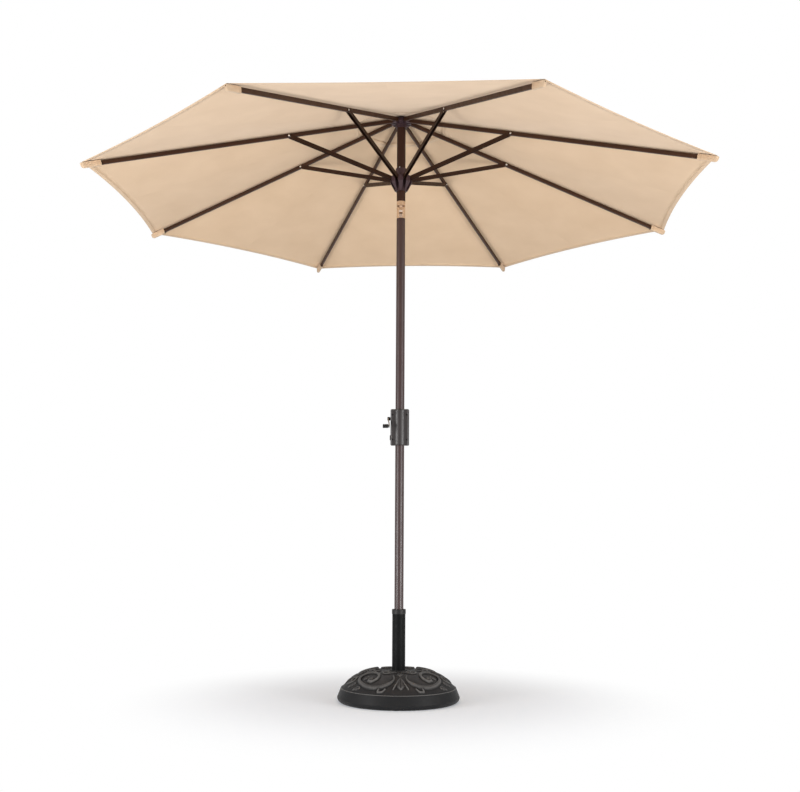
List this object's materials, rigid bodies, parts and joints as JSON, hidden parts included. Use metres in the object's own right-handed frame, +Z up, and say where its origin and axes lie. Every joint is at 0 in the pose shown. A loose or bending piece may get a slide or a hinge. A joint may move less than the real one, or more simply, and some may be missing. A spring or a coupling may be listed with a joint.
{
  "type": "patio umbrella with base",
  "caption": "Octagonal beige patio umbrella with a vent cap, a crank that opens it, a push-button tilt and a round scrolled stand.",
  "frame": {"origin": "on the floor under the pole's axis, the centre of the base's underside", "axes": "+Z up along the pole; -Y the front, with the tilt button and the housing's screws; -X the crank"},
  "size_m": [2.4944, 2.4944, 2.5719],
  "materials": {
    "antique_bronze_stone": "antique bronze paint over cast stone",
    "pad_rubber": "matte",
    "stem_steel": "dark bronze powder coat",
    "rib_steel": "dark bronze powder coat",
    "pole_aluminium": "bronze powder coat, satin",
    "knuckle_aluminium": "satin die casting",
    "zinc_steel": "zinc plated",
    "black_plastic": "fine grained",
    "housing_plastic": "satin bronze grey",
    "hub_plastic": "satin dark brown",
    "pulley_plastic": "natural nylon",
    "canopy_fabric": "woven beige polyester"
  },
  "bodies": {
    "base": {"base_weight": "antique_bronze_stone", "base_feet": "pad_rubber", "stem_tube": "stem_steel", "stem_bolt": "zinc_steel"},
    "knob": {"clamp_knob": "black_plastic", "clamp_stud": "zinc_steel"},
    "sleeve": {"stem_bush": "black_plastic"},
    "pole": {"lower_pole": "pole_aluminium", "pole_foot_plug": "black_plastic", "crank_housing_front": "housing_plastic", "crank_housing_rear": "housing_plastic", "housing_screws": "zinc_steel", "tilt_fork": "knuckle_aluminium", "tilt_pin": "zinc_steel"},
    "crank": {"crank_spool": "zinc_steel", "crank_arm": "zinc_steel", "grip_pin": "zinc_steel"},
    "grip": {"crank_grip": "black_plastic"},
    "button": {"tilt_button": "housing_plastic", "button_spring": "zinc_steel"},
    "upper": {"upper_pole": "pole_aluminium", "tilt_tongue": "knuckle_aluminium", "top_hub": "hub_plastic", "head_pins": "zinc_steel", "finial": "hub_plastic"},
    "pulley": {"cord_pulley": "pulley_plastic"},
    "runner": {"runner": "hub_plastic"},
    "rib_1": {"rib_1": "rib_steel", "canopy_panel_1": "canopy_fabric", "vent_panel_1": "canopy_fabric"},
    "strut_1": {"strut_1": "rib_steel"},
    "rib_2": {"rib_2": "rib_steel", "canopy_panel_2": "canopy_fabric", "vent_panel_2": "canopy_fabric"},
    "strut_2": {"strut_2": "rib_steel"},
    "rib_3": {"rib_3": "rib_steel", "canopy_panel_3": "canopy_fabric", "vent_panel_3": "canopy_fabric"},
    "strut_3": {"strut_3": "rib_steel"},
    "rib_4": {"rib_4": "rib_steel", "canopy_panel_4": "canopy_fabric", "vent_panel_4": "canopy_fabric"},
    "strut_4": {"strut_4": "rib_steel"},
    "rib_5": {"rib_5": "rib_steel", "canopy_panel_5": "canopy_fabric", "vent_panel_5": "canopy_fabric"},
    "strut_5": {"strut_5": "rib_steel"},
    "rib_6": {"rib_6": "rib_steel", "canopy_panel_6": "canopy_fabric", "vent_panel_6": "canopy_fabric"},
    "strut_6": {"strut_6": "rib_steel"},
    "rib_7": {"rib_7": "rib_steel", "canopy_panel_7": "canopy_fabric", "vent_panel_7": "canopy_fabric"},
    "strut_7": {"strut_7": "rib_steel"},
    "rib_8": {"rib_8": "rib_steel", "canopy_panel_8": "canopy_fabric", "vent_panel_8": "canopy_fabric"},
    "strut_8": {"strut_8": "rib_steel"}
  },
  "joints": [
    {"name": "sleeve_turn", "type": "hinge", "parent": "base", "child": "sleeve", "pos_m": [0, 0, 0.36], "axis": [0, 0, 1], "continuous": true},
    {"name": "pole_lift", "type": "slide", "parent": "sleeve", "child": "pole", "axis": [0, 0, 1], "range_m": [0, 0.34]},
    {"name": "knob_turn", "type": "hinge", "parent": "base", "child": "knob", "pos_m": [0, 0.045, 0.322], "axis": [0, 1, 0], "range_deg": [0, 1080]},
    {"name": "crank_turn", "type": "hinge", "parent": "pole", "child": "crank", "pos_m": [-0.045, 0, 1.178], "axis": [1, 0, 0], "range_deg": [-4348.18, 0]},
    {"name": "grip_spin", "type": "hinge", "parent": "crank", "child": "grip", "pos_m": [-0.055, -0.04792, 1.14189], "axis": [1, 0, 0], "continuous": true},
    {"name": "tilt", "type": "hinge", "parent": "pole", "child": "upper", "pos_m": [0, 0, 2.096], "axis": [-1, 0, 0], "range_deg": [0, 30]},
    {"name": "button_press", "type": "slide", "parent": "pole", "child": "button", "axis": [0, 1, 0], "range_m": [0, 0.004], "stiffness_N_per_m": 800, "springref_m": -0.002, "deforming": ["button_spring"]},
    {"name": "runner_slide", "type": "slide", "parent": "upper", "child": "runner", "axis": [0, 0, 1], "range_m": [-0.72079, 0]},
    {"name": "pulley_spin", "type": "hinge", "parent": "upper", "child": "pulley", "pos_m": [0, 0, 2.487], "axis": [1, 0, 0], "range_deg": [-3971.98, 0]},
    {"name": "rib_1_fold", "type": "hinge", "parent": "upper", "child": "rib_1", "pos_m": [0.03049, 0.01263, 2.502], "axis": [-0.3827, 0.9239, 0], "range_deg": [0, 69.37], "deforming": ["canopy_panel_1", "vent_panel_1"]},
    {"name": "strut_1_fold", "type": "hinge", "parent": "rib_1", "child": "strut_1", "pos_m": [0.47177, 0.19541, 2.36828], "axis": [0.3827, -0.9239, 0], "range_deg": [0, 138.73]},
    {"name": "rib_2_fold", "type": "hinge", "parent": "upper", "child": "rib_2", "pos_m": [0.01263, 0.03049, 2.502], "axis": [-0.9239, 0.3827, 0], "range_deg": [0, 69.37], "deforming": ["canopy_panel_2", "vent_panel_2"]},
    {"name": "strut_2_fold", "type": "hinge", "parent": "rib_2", "child": "strut_2", "pos_m": [0.19541, 0.47177, 2.36828], "axis": [0.9239, -0.3827, 0], "range_deg": [0, 138.73]},
    {"name": "rib_3_fold", "type": "hinge", "parent": "upper", "child": "rib_3", "pos_m": [-0.01263, 0.03049, 2.502], "axis": [-0.9239, -0.3827, 0], "range_deg": [0, 69.37], "deforming": ["canopy_panel_3", "vent_panel_3"]},
    {"name": "strut_3_fold", "type": "hinge", "parent": "rib_3", "child": "strut_3", "pos_m": [-0.19541, 0.47177, 2.36828], "axis": [0.9239, 0.3827, 0], "range_deg": [0, 138.73]},
    {"name": "rib_4_fold", "type": "hinge", "parent": "upper", "child": "rib_4", "pos_m": [-0.03049, 0.01263, 2.502], "axis": [-0.3827, -0.9239, 0], "range_deg": [0, 69.37], "deforming": ["canopy_panel_4", "vent_panel_4"]},
    {"name": "strut_4_fold", "type": "hinge", "parent": "rib_4", "child": "strut_4", "pos_m": [-0.47177, 0.19541, 2.36828], "axis": [0.3827, 0.9239, 0], "range_deg": [0, 138.73]},
    {"name": "rib_5_fold", "type": "hinge", "parent": "upper", "child": "rib_5", "pos_m": [-0.03049, -0.01263, 2.502], "axis": [0.3827, -0.9239, 0], "range_deg": [0, 69.37], "deforming": ["canopy_panel_5", "vent_panel_5"]},
    {"name": "strut_5_fold", "type": "hinge", "parent": "rib_5", "child": "strut_5", "pos_m": [-0.47177, -0.19541, 2.36828], "axis": [-0.3827, 0.9239, 0], "range_deg": [0, 138.73]},
    {"name": "rib_6_fold", "type": "hinge", "parent": "upper", "child": "rib_6", "pos_m": [-0.01263, -0.03049, 2.502], "axis": [0.9239, -0.3827, 0], "range_deg": [0, 69.37], "deforming": ["canopy_panel_6", "vent_panel_6"]},
    {"name": "strut_6_fold", "type": "hinge", "parent": "rib_6", "child": "strut_6", "pos_m": [-0.19541, -0.47177, 2.36828], "axis": [-0.9239, 0.3827, 0], "range_deg": [0, 138.73]},
    {"name": "rib_7_fold", "type": "hinge", "parent": "upper", "child": "rib_7", "pos_m": [0.01263, -0.03049, 2.502], "axis": [0.9239, 0.3827, 0], "range_deg": [0, 69.37], "deforming": ["canopy_panel_7", "vent_panel_7"]},
    {"name": "strut_7_fold", "type": "hinge", "parent": "rib_7", "child": "strut_7", "pos_m": [0.19541, -0.47177, 2.36828], "axis": [-0.9239, -0.3827, 0], "range_deg": [0, 138.73]},
    {"name": "rib_8_fold", "type": "hinge", "parent": "upper", "child": "rib_8", "pos_m": [0.03049, -0.01263, 2.502], "axis": [0.3827, 0.9239, 0], "range_deg": [0, 69.37], "deforming": ["canopy_panel_8", "vent_panel_8"]},
    {"name": "strut_8_fold", "type": "hinge", "parent": "rib_8", "child": "strut_8", "pos_m": [0.47177, -0.19541, 2.36828], "axis": [-0.3827, -0.9239, 0], "range_deg": [0, 138.73]}
  ],
  "couplings": [
    {"joint": "crank_turn", "follows": "runner_slide", "rad_per_m": 105.26},
    {"joint": "pulley_spin", "follows": "runner_slide", "rad_per_m": 96.154},
    {"joint": "rib_1_fold", "follows": "runner_slide", "rad_per_m": -1.6795},
    {"joint": "strut_1_fold", "follows": "runner_slide", "rad_per_m": -3.359},
    {"joint": "rib_2_fold", "follows": "runner_slide", "rad_per_m": -1.6795},
    {"joint": "strut_2_fold", "follows": "runner_slide", "rad_per_m": -3.359},
    {"joint": "rib_3_fold", "follows": "runner_slide", "rad_per_m": -1.6795},
    {"joint": "strut_3_fold", "follows": "runner_slide", "rad_per_m": -3.359},
    {"joint": "rib_4_fold", "follows": "runner_slide", "rad_per_m": -1.6795},
    {"joint": "strut_4_fold", "follows": "runner_slide", "rad_per_m": -3.359},
    {"joint": "rib_5_fold", "follows": "runner_slide", "rad_per_m": -1.6795},
    {"joint": "strut_5_fold", "follows": "runner_slide", "rad_per_m": -3.359},
    {"joint": "rib_6_fold", "follows": "runner_slide", "rad_per_m": -1.6795},
    {"joint": "strut_6_fold", "follows": "runner_slide", "rad_per_m": -3.359},
    {"joint": "rib_7_fold", "follows": "runner_slide", "rad_per_m": -1.6795},
    {"joint": "strut_7_fold", "follows": "runner_slide", "rad_per_m": -3.359},
    {"joint": "rib_8_fold", "follows": "runner_slide", "rad_per_m": -1.6795},
    {"joint": "strut_8_fold", "follows": "runner_slide", "rad_per_m": -3.359}
  ]
}
